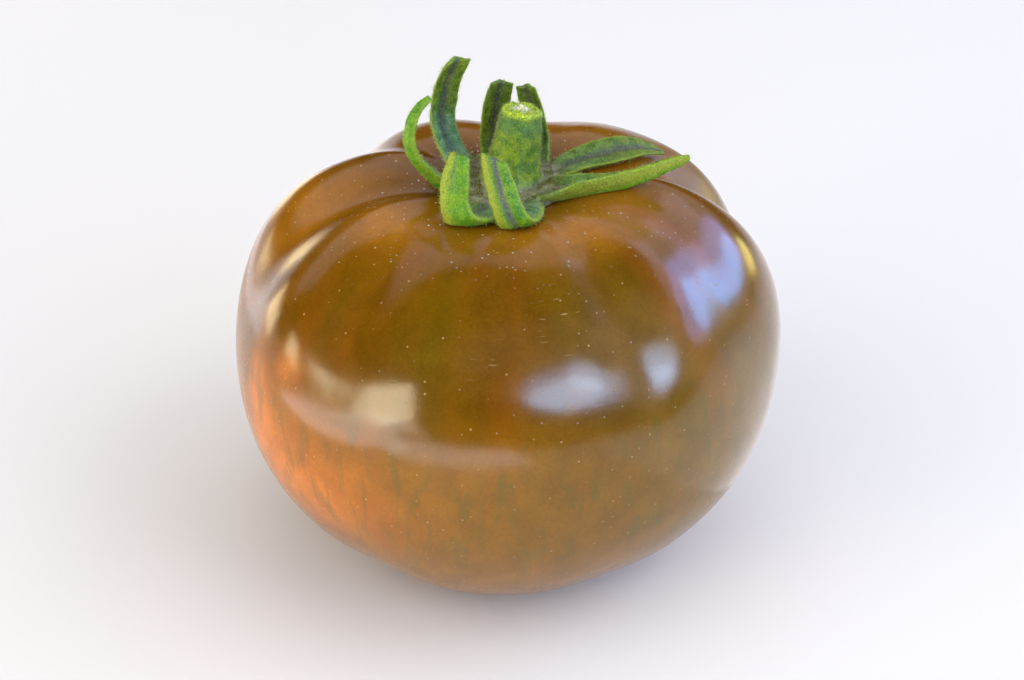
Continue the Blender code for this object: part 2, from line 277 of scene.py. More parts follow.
def patch(centre_azimuth, azimuth_spread, centre_polar, polar_spread):
    """A soft patch on the skin, from 0 to 1, with its place and spread in degrees."""
    beside = bell(np.degrees(turn_between(azimuth, math.radians(centre_azimuth))), azimuth_spread)
    above = bell(np.degrees(polar) - centre_polar, polar_spread)
    return beside * above


def ramp(values, start, end):
    """0 before start, 1 after end, and an even curve between."""
    share = np.clip((values - start) / (end - start), 0, 1)
    return share * share * (3 - 2 * share)


polar_degrees = np.degrees(polar)
unit_ring = np.stack([np.cos(azimuth), np.sin(azimuth), 0 * azimuth], axis=-1)
ripeness = polar_degrees + RIB_WANDER * noise_at(unit_ring, WANDER_SIZE)
paint(fruit_mesh, "ripe_half", ramp(ripeness, *RIPE))
for name, patches in ZONES.items():
    painted = sum(strength * patch(*placed) for strength, *placed in patches)
    paint(fruit_mesh, name, np.clip(painted, 0, 1))
streaked = ramp(polar_degrees, *STREAKED[:2]) * (1 - ramp(polar_degrees, *STREAKED[2:]))
paint(fruit_mesh, "streak_zone", streaked)
paint(fruit_mesh, "dusty", ramp(-polar_degrees, -DUSTY[1], -DUSTY[0]) * is_upper)
paint(fruit_mesh, "scar", scar)
# Two maps of the skin for patterns: one drawn out down the ribs, the other round the fruit.
around = ROUND_SCALE * unit_ring[:, :2]
down = ROUND_SCALE * polar[:, None]
paint(fruit_mesh, "down_the_ribs", np.hstack([around, STREAK_STRETCH * down]))
paint(fruit_mesh, "round_the_fruit", np.hstack([SCRATCH_STRETCH * around, down]))
print("zones:", len(fruit_mesh.attributes), "layers on the fruit")

# %% [markdown]
# ## Tools for finishes
#
# Three small helpers serve every material. Colours are picked as the hex values that a screen shows, and
# light adds up in linear values, so one function turns the first into the second. Another adds one node,
# sets it, links it, and hands back the output that comes next. The last starts a material.

# %% Colour and node helpers
# Settings that many nodes share. A Mix of colours has its inputs at 0, 6 and 7, and its result at 2.
RGBA = {"data_type": "RGBA"}
SMOOTH = {"interpolation_type": "SMOOTHSTEP"}
MULTIPLY = {"operation": "MULTIPLY"}
SCALE = {"operation": "SCALE"}
RESULT = 2


def linear(hex_colour, alpha=1.0):
    """An sRGB hex colour in the linear values that nodes hold."""
    channels = [int(hex_colour[i:i + 2], 16) / 255 for i in (1, 3, 5)]
    return tuple(c / 12.92 if c <= 0.04045 else ((c + 0.055) / 1.055) ** 2.4 for c in channels) + (alpha,)


def add_node(tree, kind, settings, inputs, output=0):
    """Add a node, set it and link it. An input is another node's output or a value."""
    made = tree.nodes.new("ShaderNode" + kind)
    for name, value in settings.items():
        setattr(made, name, value)
    for key, value in inputs.items():
        if isinstance(value, bpy.types.NodeSocket):
            tree.links.new(value, made.inputs[key])
        else:
            made.inputs[key].default_value = value
    return made.outputs[output]


def new_finish(name):
    """An empty material with a Principled shader: the material, its node tree and the shader."""
    material = bpy.data.materials.new(name)
    material.use_nodes = True
    tree = material.node_tree
    return material, tree, tree.nodes["Principled BSDF"]


print("the hex grey #808080 is", round(linear("#808080")[0], 3), "in linear light")

# %% [markdown]
# ## Tomato skin
#
# The skin is cutin, a clear wax a few hundredths of a millimetre thick, over coloured flesh. Wax has an
# index of refraction near 1.5 and grows to a soft gloss, roughness about 0.18, so highlights are bright
# with soft edges. The colour comes from the flesh behind it, which light enters and leaves again: a little
# subsurface scattering in red softens every shade. The skin's cells are about 0.1 mm wide, and their relief
# breaks the edges of the highlights. It is drawn four times as coarse, or it would be lost.

# %% Colour of the skin
skin_finish, tree, shader = new_finish("tomato_skin_waxy")
place = add_node(tree, "TexCoord", {}, {}, "Object")
zone = {
    name: add_node(tree, "Attribute", {"attribute_name": name}, {}, "Fac")
    for name in ("ripe_half", *ZONES, "streak_zone", "dusty", "scar")
}
skin_map = {
    name: add_node(tree, "Attribute", {"attribute_name": name}, {}, "Vector")
    for name in ("down_the_ribs", "round_the_fruit")
}

# The unripe flesh, and over it each layer: its hue, the zone that it fills, and how strongly.
FLESH = "#6E4802"
FLESH_LAYERS = (
    ("#885C06", "ripe_half", 1.0),
    ("#AC7010", "gold_by_calyx", 0.80),
    ("#665400", "green_shoulder", 0.60),
    ("#D87A08", "sunny_flush", 0.92),
    ("#7A5E1C", "shaded_side", 0.80),
)
colour = linear(FLESH)
for hue, zone_name, strength in FLESH_LAYERS:
    amount = add_node(tree, "Math", MULTIPLY, {0: zone[zone_name], 1: strength})
    colour = add_node(tree, "Mix", RGBA, {0: amount, 6: colour, 7: linear(hue)}, RESULT)
print("skin:", len(FLESH_LAYERS), "layers of colour over", FLESH)

# %% Mottling and streaks of the skin
# The flesh is cloudy over about 5 mm, groups of skin cells of 0.2 to 0.5 mm differ a little, and the
# streaks follow the veins under the skin, which are 1 to 2 mm wide.
MOTTLE_SIZE, MOTTLE_SHADES = 5 * MM, (0.88, 1.10)
PORE_SIZE, PORE_SHADES = 0.45 * MM, (0.86, 1.14)
STREAK_SIZE, STREAK_STRENGTH = 1.7 * MM, 0.45
WISP_SIZE, WISP_STRENGTH = 3 * STREAK_SIZE, 0.20

mottle = add_node(tree, "TexNoise", {}, {"Vector": place, "Scale": 1 / MOTTLE_SIZE, "Detail": 4.0})
pores = add_node(tree, "TexNoise", {}, {"Vector": place, "Scale": 1 / PORE_SIZE, "Detail": 2.0,
                                        "Roughness": 0.8})
for pattern, start, end, shades in ((mottle, 0.35, 0.65, MOTTLE_SHADES), (pores, 0.3, 0.7, PORE_SHADES)):
    shade = add_node(tree, "MapRange", {}, {"Value": pattern, "From Min": start, "From Max": end,
                                            "To Min": shades[0], "To Max": shades[1]})
    colour = add_node(tree, "VectorMath", SCALE, {0: colour, "Scale": shade})

wisps = add_node(tree, "TexNoise", {}, {"Vector": skin_map["down_the_ribs"], "Scale": 1 / WISP_SIZE,
                                        "Detail": 3.0})
wisp = add_node(tree, "MapRange", SMOOTH, {"Value": wisps, "From Min": 0.48, "From Max": 0.72})
rust = add_node(tree, "Math", MULTIPLY, {0: wisp, 1: WISP_STRENGTH})
streaks = add_node(tree, "TexNoise", {}, {"Vector": skin_map["down_the_ribs"], "Scale": 1 / STREAK_SIZE,
                                          "Detail": 3.0, "Distortion": 0.5})
streak = add_node(tree, "MapRange", SMOOTH, {"Value": streaks, "From Min": 0.50, "From Max": 0.68})
in_zone = add_node(tree, "Math", MULTIPLY, {0: streak, 1: zone["streak_zone"]})
grey_green = add_node(tree, "Math", MULTIPLY, {0: in_zone, 1: STREAK_STRENGTH})
# What lies over the flesh, from the bottom up: how much of it shows, and its hue.
marks = [(rust, "#A4530C"), (grey_green, "#625C20")]
print("streaks", round(STREAK_SIZE / MM, 1), "mm wide, wisps", round(WISP_SIZE / MM, 1), "mm wide")

# %% Specks, dust and scratches of the skin
# The specks are corky pores up to 0.4 mm wide. The dust is dried spray, and the scratches are hair-thin
# lines half a millimetre apart, drawn three times as wide as they are, or they would be lost.
SPECK_SPACING, DUST_SPACING = 1.3 * MM, 0.9 * MM
SCRATCH_SPACING, SCRATCH_WIDTH, SCRATCHES_ABOVE = 0.6 * MM, (0.24, 0.10), 0.40
SOFT_EDGE = 0.45

dots = {}
# Each kind of dot: spacing, the share of it that a dot fills, the draw above which a dot shows, and zone.
for name, spacing, share, chosen_above, where in (
    ("speck", SPECK_SPACING, 0.16, 0.64, 1.0),
    ("dust", DUST_SPACING, 0.22, 0.70, zone["dusty"]),
):
    cells = add_node(tree, "TexVoronoi", {}, {"Vector": place, "Scale": 1 / spacing}).node
    dot = add_node(tree, "MapRange", SMOOTH, {"Value": cells.outputs["Distance"], "From Min": share,
                                              "From Max": SOFT_EDGE * share})
    pick = add_node(tree, "SeparateColor", {}, {0: cells.outputs["Color"]})
    chosen = add_node(tree, "MapRange", {}, {"Value": pick, "From Min": chosen_above, "From Max": 1.0})
    mark = add_node(tree, "Math", MULTIPLY, {0: dot, 1: chosen})
    dots[name] = add_node(tree, "Math", MULTIPLY, {0: mark, 1: where})

cells = add_node(tree, "TexVoronoi", {}, {"Vector": skin_map["round_the_fruit"],
                                          "Scale": 1 / SCRATCH_SPACING}).node
line = add_node(tree, "MapRange", SMOOTH, {"Value": cells.outputs["Distance"],
                                           "From Min": SCRATCH_WIDTH[0], "From Max": SCRATCH_WIDTH[1]})
pick = add_node(tree, "SeparateColor", {}, {0: cells.outputs["Color"]})
chosen = add_node(tree, "Math", {"operation": "GREATER_THAN"}, {0: pick, 1: SCRATCHES_ABOVE})
scratch = add_node(tree, "Math", MULTIPLY, {0: line, 1: chosen})
scratch = add_node(tree, "Math", MULTIPLY, {0: scratch, 1: zone["scratched"]})

marks += [(dots["speck"], "#B8925A"), (dots["dust"], "#C9D8CC"), (scratch, "#B8A468"),
          (zone["scar"], "#9C7A4A")]
for amount, hue in marks:
    colour = add_node(tree, "Mix", RGBA, {0: amount, 6: colour, 7: linear(hue)}, RESULT)
tree.links.new(colour, shader.inputs["Base Color"])
print("skin:", len(marks), "kinds of mark over the flesh")

# %% Gloss, grain and depth of the skin
CELL_SIZE, CELL_HEIGHT = 0.40 * MM, 0.010 * MM
UNEVEN_SIZE, UNEVEN_HEIGHT = 2.2 * MM, 0.010 * MM
WAX_ROUGHNESS, BLOOM_ROUGHNESS = (0.16, 0.20), 0.35

grain = add_node(tree, "TexNoise", {}, {"Vector": place, "Scale": 1 / CELL_SIZE, "Detail": 2.0})
uneven = add_node(tree, "TexNoise", {}, {"Vector": place, "Scale": 1 / UNEVEN_SIZE, "Detail": 2.0})
fine_bump = add_node(tree, "Bump", {}, {"Height": grain, "Distance": CELL_HEIGHT, "Strength": 1.0})
both_bumps = add_node(tree, "Bump", {}, {"Height": uneven, "Distance": UNEVEN_HEIGHT, "Strength": 1.0,
                                         "Normal": fine_bump})
tree.links.new(both_bumps, shader.inputs["Normal"])
gloss = add_node(tree, "MapRange", {}, {"Value": mottle, "From Min": 0.3, "From Max": 0.7,
                                        "To Min": WAX_ROUGHNESS[0], "To Max": WAX_ROUGHNESS[1]})
gloss = add_node(tree, "Math", {"operation": "ADD", "use_clamp": True}, {0: gloss, 1: dots["speck"]})
gloss = add_node(tree, "Math", {"operation": "MULTIPLY_ADD", "use_clamp": True},
                 {0: zone["bloom"], 1: BLOOM_ROUGHNESS, 2: gloss})
tree.links.new(gloss, shader.inputs["Roughness"])
shader.inputs["IOR"].default_value = 1.48
shader.inputs["Subsurface Weight"].default_value = 0.12
shader.inputs["Subsurface Radius"].default_value = (1.0, 0.35, 0.10)
shader.inputs["Subsurface Scale"].default_value = 2.5 * MM
fruit_mesh.materials.append(skin_finish)
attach(fruit, "root")
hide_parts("fruit")
print("skin:", len(tree.nodes), "nodes")

# %% [markdown]
# ## The shape of the calyx
#
# The calyx is one growth: a low disc that hugs the skin, a stub of stem, and eight fleshy sepals that curl
# as they dry. Each sepal follows a line of its own and has a flattened section, so it is a loft, built by
# hand ring by ring. The fine blade keeps the solid's line, width and thickness, and adds what the eye
# looks for in a leaf: a channel along the upper face, a raised midrib under it, and a torn end. The two
# sepals in front have folded back on themselves, and their outer face is puffed on both sides of a groove.

# %% The calyx's measures
SEAT_HEIGHT = FRUIT_HALF_HEIGHT - REST_CUT + FRUIT_HALF_HEIGHT - CAVITY_DEPTH
CALYX_AXIS = STEM_AXIS + Vector((0.3 * MM, 0.0, SEAT_HEIGHT))
TURN_FROM, TURN_TO = 0.15, 0.65
THINNING, FATTEST = 0.45, 0.8
CUP_CURVE, CUP_FULL_AT = 1.5, 1 / 3
SLANT_FROM = 2 / 3
COLLAR_PROFILE = ((2.1, 0.0), (2.0, 4.5), (1.6, 7.2), (1.1, 8.4), (0.3, 8.8), (-1.5, 8.0), (-1.5, 0.0))
STEM_PROFILE = ((13.4, 0.0), (13.9, 2.5), (13.5, 3.05), (10.0, 3.4), (6.4, 3.7), (3.6, 4.3), (1.8, 5.2),
                (0.5, 5.4), (0.5, 0.0))
STEM_LEAN = (math.radians(-6), math.radians(9))
# Each sepal: root thickness, cup, turn, slant, and stations of (reach, azimuth, height, width) in mm.
SEPALS = {
    "left": (1.9, 0.35, 0, 0.0, (
        (3.5, 192, 1.4, 5.5), (7, 194, 1.8, 5.0), (9.7, 196, 2.5, 4.4), (12.3, 198, 5.2, 3.8),
        (14.7, 198, 8.4, 3.2), (15.6, 198, 11.3, 2.8), (15.2, 198, 14.3, 2.2),
        (14.1, 198, 16.5, 1.6), (12.2, 198, 18.0, 1.0))),
    "back_left": (1.6, 0.40, -40, 0.5, (
        (3.5, 148, 1.4, 6.0), (7.2, 149, 2.2, 5.4), (9.8, 150, 3.8, 5.0), (11.3, 151, 6.6, 4.7),
        (12.0, 151, 10.3, 4.6), (11.5, 151, 13.1, 4.4), (10.9, 151, 16.0, 4.2),
        (10.0, 151, 18.3, 4.0), (8.8, 151, 20.5, 3.8))),
    "back": (1.5, 0.30, 0, 0.0, (
        (3.5, 103, 1.4, 6.5), (6.5, 103, 2.2, 5.6), (8.6, 105, 4.4, 5.0), (9.0, 104, 7.5, 4.8),
        (8.7, 102, 11.6, 4.4), (7.6, 98, 15.2, 3.8))),
    "back_right": (1.5, 0.30, 0, 0.0, (
        (3.5, 54, 1.4, 6.0), (7.2, 56, 2.2, 5.2), (9.1, 59, 4.5, 4.6), (9.2, 61, 7.0, 4.4),
        (8.7, 64, 11.0, 4.0), (7.6, 68, 14.7, 3.4))),
    "right": (1.5, 0.35, 30, 0.0, (
        (3.5, 22, 1.2, 6.0), (7.0, 22, 1.8, 5.4), (9.8, 23, 2.3, 5.2), (12.7, 24, 2.7, 5.2),
        (15.8, 24, 3.0, 5.2), (19.0, 25, 3.0, 4.8), (21.7, 25, 2.8, 3.8), (24.2, 25, 2.1, 2.4),
        (26.6, 25, 1.1, 1.0))),
    "front_right": (2.3, 1.0, -25, 0.0, (
        (3.5, -36, 1.2, 8.5), (7.0, -29, 1.3, 7.3), (9.9, -22, 1.6, 5.6), (12.8, -17, 2.2, 4.5),
        (15.8, -13, 2.9, 3.7), (19.0, -10, 3.9, 3.0), (22.0, -8, 5.0, 2.5), (25.0, -6, 6.2, 2.0),
        (27.6, -5, 7.3, 0.9))),
    "front": (1.9, -0.15, 30, 0.7, (
        (3.5, -70, 1.4, 7.0), (7.5, -75, 1.7, 7.0), (11.6, -80, 2.1, 6.4), (14.6, -85, 2.8, 5.4),
        (14.7, -90, 5.2, 4.8), (13.4, -95, 8.8, 4.6), (12.5, -99, 12.2, 3.8))),
    "front_left": (1.9, -0.15, 40, 0.0, (
        (3.5, -104, 1.4, 8.0), (8.0, -108, 1.7, 8.0), (12.2, -112, 2.1, 7.6), (15.2, -116, 2.8, 6.0),
        (15.5, -120, 5.2, 4.9), (14.8, -121, 8.6, 4.7), (13.5, -121, 12.4, 3.2))),
}


def skin_height(reach, azimuth):
    """The skin's height near the stem, found by halving the range of polar angles."""
    low = np.zeros_like(reach)
    high = np.full_like(reach, math.radians(60))
    for _ in range(24):
        middle = 0.5 * (low + high)
        points = fruit_points(azimuth, middle)
        is_short = np.hypot(points[..., 0] - STEM_AXIS.x, points[..., 1] - STEM_AXIS.y) < reach
        low = np.where(is_short, middle, low)
        high = np.where(is_short, high, middle)
    return fruit_points(azimuth, low)[..., 2]


print("the calyx sits", round(CALYX_AXIS.z / MM, 1), "mm above the floor")

# %% Loft the sepals
SECTIONS, SIDES = 72, 32
CHANNEL_DEPTH, CHANNEL_WIDTH = 0.32 * MM, 0.20
MIDRIB_HEIGHT = 0.28 * MM
# The relief grows over the first quarter of a blade, and fades where its half width is less than this.
RELIEF_FULL_AT, RELIEF_THIN_AT = 0.25, 1.2 * MM
# The torn tip's teeth and the edges' waves are noise, with so many features along a blade and across it.
TEAR_FROM, TEAR_LENGTH, TEETH_ACROSS, TEETH_THROUGH = 0.92, 0.75 * MM, 4.5, 2.0
WAVE_HEIGHT, WAVES_ALONG, WAVES_ACROSS, WAVE_RISE = 0.22 * MM, 3.1, 0.8, 3
# The two folded-back sepals in front are puffed on the face that shows, and grooved down its middle.
PUFFED = {"front": (0.45 * MM, 0.42 * MM, 0.0), "front_left": (0.50 * MM, 0.20 * MM, 0.15)}
GROOVE_WIDTH = 0.24
# How much painted reflection of the blue sky each sepal's upper face shows, and how much its colour is
# darkened.
TINTS = {
    "left": (0.9, 0.95), "back_left": (1.0, 0.95), "back": (0.15, 0.82), "back_right": (0.35, 0.85),
    "right": (0.25, 0.90), "front_right": (0.3, 1.0), "front": (0.6, 0.95), "front_left": (0.6, 1.0),
}


def along(points, share):
    """A point on the smooth line through these points, at 0 to 1 of the way."""
    spans = len(points) - 1
    span = min(int(share * spans), spans - 1)
    t = share * spans - span
    before = points[span - 1] if span > 0 else 2 * points[0] - points[1]
    start, end = points[span], points[span + 1]
    after = points[span + 2] if span + 2 <= spans else 2 * points[-1] - points[-2]
    return 0.5 * (
        2 * start
        + (end - before) * t
        + (2 * before - 5 * start + 4 * end - after) * t ** 2
        + (3 * start - before - 3 * end + after) * t ** 3
    )


def blade_section(name, share, half_width, half_thickness, cup):
    """The outline across a blade, as (across, up, lengthwise) with what each corner is: side and face."""
    sepal_number = list(SEPALS).index(name)
    puff, groove, groove_at = PUFFED.get(name, (0, -MIDRIB_HEIGHT, 0))
    corners = []
    for corner in range(SIDES):
        angle = 2 * math.pi * corner / SIDES
        across, face = math.cos(angle), math.sin(angle)
        up = half_thickness * face + cup * abs(across) ** CUP_CURVE
        fade = min(1, share / RELIEF_FULL_AT) * min(1, half_width / RELIEF_THIN_AT)
        if face > 0:
            up -= fade * CHANNEL_DEPTH * math.exp(-((across / CHANNEL_WIDTH) ** 2)) * face
        else:
            up -= fade * groove * math.exp(-(((across - groove_at) / GROOVE_WIDTH) ** 2)) * face
            up += fade * puff * (1 - across ** 2) * face
        wave = noise.noise(Vector((WAVES_ALONG * share + 4 * sepal_number, WAVES_ACROSS * across, 0)))
        up += WAVE_HEIGHT * wave * abs(across) * min(1, WAVE_RISE * share)
        torn = max(0, share - TEAR_FROM) / (1 - TEAR_FROM)
        jag = noise.noise(Vector((TEETH_ACROSS * across, TEETH_THROUGH * face, 9.0 * sepal_number)))
        corners.append((across * half_width, up, torn * jag * TEAR_LENGTH, across, face))
    return corners


def loft_sepal(name):
    """One blade as a closed mesh, with what each of its points is: share, across and face."""
    thickness, cup_share, full_turn, slant_slope, stations = SEPALS[name]
    line = []
    for station_reach, station_azimuth, height, _ in stations:
        turn = math.radians(station_azimuth)
        outward = Vector((math.cos(turn), math.sin(turn), 0))
        line.append(CALYX_AXIS + MM * (station_reach * outward + Vector((0, 0, height))))
    widths = [MM * station[3] for station in stations]
    carried = Vector((0, 0, 1))
    step = 0.01
    places, what = [], []
    for section in range(SECTIONS):
        share = section / (SECTIONS - 1)
        centre = along(line, share)
        tangent = (along(line, min(1, share + step)) - along(line, max(0, share - step))).normalized()
        carried = (carried - carried.dot(tangent) * tangent).normalized()
        turn = math.radians(full_turn) * max(0, min(1, (share - TURN_FROM) / (TURN_TO - TURN_FROM)))
        upper = Matrix.Rotation(turn, 3, tangent) @ carried
        side = tangent.cross(upper)
        half_width = 0.5 * along(widths, share)
        half_thickness = min(0.5 * MM * thickness * (1 - THINNING * share), FATTEST * half_width)
        cup = cup_share * half_width * min(1, share / CUP_FULL_AT)
        slant = slant_slope * half_width * max(0, share - SLANT_FROM) / (1 - SLANT_FROM)
        for beside, up, forward, across, face in blade_section(
                name, share, half_width, half_thickness, cup):
            places.append(centre + side * beside + upper * up + tangent * (forward + slant * across))
            what.append((share, across, face))
    bm = bmesh.new()
    points = [bm.verts.new(point) for point in places]
    for section in range(SECTIONS - 1):
        for corner in range(SIDES):
            beside = (corner + 1) % SIDES
            here, there = section * SIDES, (section + 1) * SIDES
            bm.faces.new((points[here + corner], points[here + beside],
                          points[there + beside], points[there + corner]))
    bm.faces.new(points[:SIDES][::-1])
    bm.faces.new(points[-SIDES:])
    bmesh.ops.recalc_face_normals(bm, faces=bm.faces)
    return bm, places, what


print("each of", len(SEPALS), "sepals has", SECTIONS, "rings of", SIDES, "points")

# %% [markdown]
# ## One skin over the calyx
#
# Blades, disc and stem overlap where they join. A Boolean would leave a hard seam there, and real tissue
# flows over. So all of them go into one mesh, and a voxel Remesh takes a single skin from the whole, fine
# enough to keep the blades' edges. A remesh forgets what each point was, so every new point looks up the
# nearest point of the lofts and takes over its place along the blade, across it, and which face it is on.

# %% Turn the disc and the stem
COLLAR_TURNS, STEM_TURNS = 96, 72
PROFILE_POINTS = 60
RIB_SHARE = 0.035
CUT_ROUGHNESS, CUT_DEPTH, CUT_GRAIN = 0.60 * MM, 1.2 * MM, 0.9 * MM


def turn_profile(profile, turns):
    """Heights, radii and turns about Z along a profile of (height, radius) in mm, one row a ring."""
    knots = np.array(profile) * MM
    lengths = np.concatenate([[0], np.cumsum(np.linalg.norm(np.diff(knots, axis=0), axis=1))])
    distances = np.linspace(0, lengths[-1], PROFILE_POINTS)
    round_once = np.linspace(0, 2 * np.pi, turns, endpoint=False)
    height, turn = np.meshgrid(np.interp(distances, lengths, knots[:, 0]), round_once, indexing="ij")
    radius, _ = np.meshgrid(np.interp(distances, lengths, knots[:, 1]), round_once, indexing="ij")
    return height, radius, turn


def skin_rows(places):
    """A closed mesh over rings of places. The first and the last ring are single points."""
    bm = bmesh.new()
    rings = [[bm.verts.new(place) for place in row] for row in places[1:-1]]
    top = bm.verts.new(places[0][0])
    bottom = bm.verts.new(places[-1][0])
    turns = len(rings[0])
    for corner in range(turns):
        beside = (corner + 1) % turns
        bm.faces.new((top, rings[0][corner], rings[0][beside]))
        bm.faces.new((bottom, rings[-1][beside], rings[-1][corner]))
        for ring, following in zip(rings, rings[1:]):
            bm.faces.new((ring[corner], following[corner], following[beside], ring[beside]))
    bmesh.ops.recalc_face_normals(bm, faces=bm.faces)
    return bm


height, radius, turn = turn_profile(COLLAR_PROFILE, COLLAR_TURNS)
collar = skin_rows(np.stack([
    CALYX_AXIS.x + radius * np.cos(turn),
    CALYX_AXIS.y + radius * np.sin(turn),
    height + skin_height(radius, turn),
], axis=-1))

stem_matrix = (Matrix.Translation(CALYX_AXIS) @ Matrix.Rotation(STEM_LEAN[1], 4, "Y")
               @ Matrix.Rotation(STEM_LEAN[0], 4, "X"))
STEM_TOP = max(height for height, _ in STEM_PROFILE) * MM


def place_on_stem(height, radius, turn):
    """A point of the stub: five soft ribs, and a ragged cut."""
    ribs = 1 + RIB_SHARE * math.cos(5 * turn + 0.4) + 0.5 * RIB_SHARE * math.cos(9 * turn)
    spot = Vector((math.cos(turn), math.sin(turn), 0)) * radius * ribs
    near_cut = max(0.0, 1 - (STEM_TOP - height) / CUT_DEPTH)
    ragged = CUT_ROUGHNESS * near_cut * noise.noise(spot / CUT_GRAIN)
    return stem_matrix @ (spot + Vector((0, 0, height + ragged)))


stem = skin_rows([[place_on_stem(*corner) for corner in zip(*row)]
                  for row in zip(*turn_profile(STEM_PROFILE, STEM_TURNS))])
print("disc and stem:", len(collar.faces) + len(stem.faces), "faces")

# %% Join them under one skin
VOXEL = 0.19 * MM
SKIN_GAP = 0.12 * MM
SOFTENING = 3

whole = bmesh.new()
known_points, known_values = [], []
for number, name in enumerate(SEPALS):
    blade, places, what = loft_sepal(name)
    blade_mesh = bpy.data.meshes.new("blade")
    blade.to_mesh(blade_mesh)
    blade.free()
    whole.from_mesh(blade_mesh)
    bpy.data.meshes.remove(blade_mesh)
    known_points += places
    # Kept for each point: blade or not, share, across, face, stem or not, and which blade it is.
    known_values += [(1.0, share, across, face, 0.0, number) for share, across, face in what]
for solid, is_stem in ((collar, 0.0), (stem, 1.0)):
    solid_mesh = bpy.data.meshes.new("turned")
    solid.to_mesh(solid_mesh)
    solid.free()
    whole.from_mesh(solid_mesh)
    known_points += [vertex.co.copy() for vertex in solid_mesh.vertices]
    known_values += [(0.0, 0.0, 0.0, 1.0, is_stem, 0)] * len(solid_mesh.vertices)
    bpy.data.meshes.remove(solid_mesh)

calyx_mesh = bpy.data.meshes.new("calyx_green")
whole.to_mesh(calyx_mesh)
whole.free()
calyx = bpy.data.objects.new("calyx_green", calyx_mesh)
bpy.context.scene.collection.objects.link(calyx)
remesh = calyx.modifiers.new("One skin", "REMESH")
remesh.mode = "VOXEL"
remesh.voxel_size = VOXEL
smooth = calyx.modifiers.new("Soften", "SMOOTH")
smooth.factor = 0.5
smooth.iterations = SOFTENING
bpy.context.view_layer.update()
graph = bpy.context.evaluated_depsgraph_get()
one_skin = bpy.data.meshes.new_from_object(calyx.evaluated_get(graph))
calyx.modifiers.clear()
calyx.data = one_skin
bpy.data.meshes.remove(calyx_mesh)
calyx_mesh = one_skin
calyx_mesh.name = "calyx_green"
print("calyx:", count_triangles(calyx_mesh), "triangles")

# %% Give each point its place on the plant
NEIGHBOURS = 4
NEAREST_BLUR = 0.02 * MM
TISSUE_BUMPS = ((0.07 * MM, 1.1 * MM), (0.03 * MM, 0.45 * MM))
CLEAR_OF_SKIN = 3 * MM
FACE_TURN = 0.25
# The columns of what is known of a point, as they were kept above.
IS_BLADE, SHARE, ACROSS, FACE, IS_STEM, WHICH = range(6)
# Each grooved sepal: how strongly, the groove's width, and where it starts and is full along the blade.
GROOVED = {"front": (1.0, 0.22, 0.40, 0.62), "front_left": (0.75, 0.09, 0.72, 0.90)}

tree_of_points = kdtree.KDTree(len(known_points))
for index, point in enumerate(known_points):
    tree_of_points.insert(point, index)
tree_of_points.balance()
known_values = np.array(known_values)
calyx_points = read_points(calyx_mesh)
values = np.empty((len(calyx_points), known_values.shape[1]))
for row, point in enumerate(calyx_points):
    found = tree_of_points.find_n(point, NEIGHBOURS)
    weights = np.array([1 / (distance + NEAREST_BLUR) for _, _, distance in found])
    near = known_values[[index for _, index, _ in found]]
    values[row] = weights @ near / weights.sum()
    values[row, WHICH] = near[0, WHICH]

# The underside follows the skin, a hair's breadth clear of it.
from_axis = calyx_points - np.array([STEM_AXIS.x, STEM_AXIS.y, 0])
calyx_azimuth = np.arctan2(from_axis[:, 1], from_axis[:, 0])
ground = skin_height(np.hypot(from_axis[:, 0], from_axis[:, 1]), calyx_azimuth)
calyx_normals = read_points(calyx_mesh, "normal")
bumps = sum(high * noise_at(calyx_points, size) for high, size in TISSUE_BUMPS)
calyx_points += calyx_normals * bumps[:, None]
calyx_points[:, 2] = np.maximum(calyx_points[:, 2], ground + SKIN_GAP)
write_points(calyx_mesh, calyx_points)
above_skin = np.clip((calyx_points[:, 2] - ground) / CLEAR_OF_SKIN, 0, 1)
calyx_mesh.shade_smooth()
print("the calyx stands", round(calyx_points[:, 2].max() / MM, 1), "mm above the floor")

# %% Paint the parts of the calyx
from_stem = np.array(stem_matrix.inverted()) @ np.vstack([calyx_points.T, np.ones(len(calyx_points))])
up_the_stem = from_stem[2]
off_the_pith = np.hypot(from_stem[0], from_stem[1])
of_blade, of_stem = values[:, IS_BLADE], values[:, IS_STEM]
upper_face = ramp(values[:, FACE], -FACE_TURN, FACE_TURN)
tints = np.array(list(TINTS.values()))[values[:, WHICH].astype(int)]
in_groove = np.zeros(len(calyx_points))
for name, (strength, width, start, end) in GROOVED.items():
    here = values[:, WHICH] == list(SEPALS).index(name)
    across_groove = bell(values[:, ACROSS] - PUFFED[name][2], width)
    in_groove += strength * here * of_blade * across_groove * ramp(values[:, SHARE], start, end)
for name, painted in {
    "is_blade": of_blade,
    "share": values[:, SHARE],
    "across": values[:, ACROSS],
    "upper_face": upper_face,
    # How much painted reflection of the blue sky each blade's upper face shows.
    "painted_sky_share": tints[:, 0] * of_blade,
    "darkness": 1 + (tints[:, 1] - 1) * of_blade,
    "grooved": in_groove * (1 - upper_face),
    "on_stem": of_stem * ramp(up_the_stem, 1.5 * MM, 4.0 * MM),
    "under_the_cut": of_stem * bell(up_the_stem - STEM_TOP + 2.2 * MM, 1.3 * MM),
    "cut_end": of_stem * ramp(up_the_stem, STEM_TOP - 1.1 * MM, STEM_TOP - 0.4 * MM),
    "pith": of_stem * ramp(-off_the_pith, -2.0 * MM, -1.0 * MM)
            * ramp(up_the_stem, STEM_TOP - 1.2 * MM, STEM_TOP - 0.7 * MM),
}.items():
    paint(calyx_mesh, name, painted)
print("calyx zones:", len(calyx_mesh.attributes), "layers")
